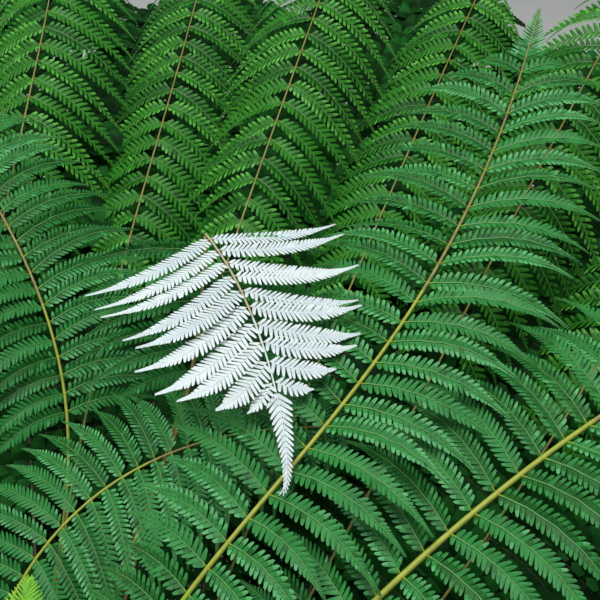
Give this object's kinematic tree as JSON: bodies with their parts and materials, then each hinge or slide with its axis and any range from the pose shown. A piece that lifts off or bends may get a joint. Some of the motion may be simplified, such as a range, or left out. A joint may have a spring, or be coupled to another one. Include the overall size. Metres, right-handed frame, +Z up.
{
  "type": "tree fern",
  "caption": "Young tree fern: a short fibrous trunk with a wide crown of arching fronds, one of them broken and folded back with its silver side up.",
  "frame": {"origin": "middle of the flat cut under the trunk, at ground level", "axes": "+Z up the trunk, +Y away from the picture's viewer, +X to the viewer's right"},
  "size_m": [3.9766, 4.2544, 1.4],
  "materials": {
    "trunk": "rough and fibrous",
    "green_frond": "soft satin leaf",
    "bright_frond": "soft satin leaf",
    "silver_frond": "matt and waxy",
    "young_frond": "soft satin leaf"
  },
  "bodies": {
    "root": {"trunk": "trunk", "frond_broken": "green_frond", "frond_long": "green_frond", "frond_right": "green_frond", "frond_left": "green_frond", "frond_crossing": "green_frond", "frond_back_1": "bright_frond", "frond_back_2": "bright_frond", "frond_back_3": "bright_frond", "frond_back_4": "bright_frond", "frond_back_5": "bright_frond", "frond_back_6": "bright_frond", "frond_back_7": "bright_frond", "frond_under_1": "green_frond", "frond_under_2": "green_frond", "frond_under_3": "green_frond", "frond_under_4": "green_frond", "frond_under_5": "green_frond", "frond_under_6": "green_frond", "frond_under_7": "green_frond", "frond_old_1": "green_frond", "frond_old_2": "green_frond", "frond_old_3": "green_frond", "frond_old_4": "green_frond", "frond_old_5": "green_frond", "frond_old_6": "green_frond", "frond_round_1": "green_frond", "frond_round_2": "green_frond", "frond_round_3": "green_frond", "frond_round_4": "green_frond", "frond_round_5": "green_frond", "frond_round_6": "green_frond", "frond_round_7": "green_frond", "frond_round_8": "green_frond", "frond_round_9": "green_frond", "frond_round_10": "green_frond", "frond_round_11": "green_frond", "frond_round_12": "green_frond", "frond_round_13": "green_frond", "frond_round_14": "green_frond", "frond_round_15": "green_frond", "frond_folded_tip": "silver_frond", "frond_young_1": "young_frond", "frond_young_2": "young_frond", "frond_young_3": "young_frond"}
  },
  "joints": []
}
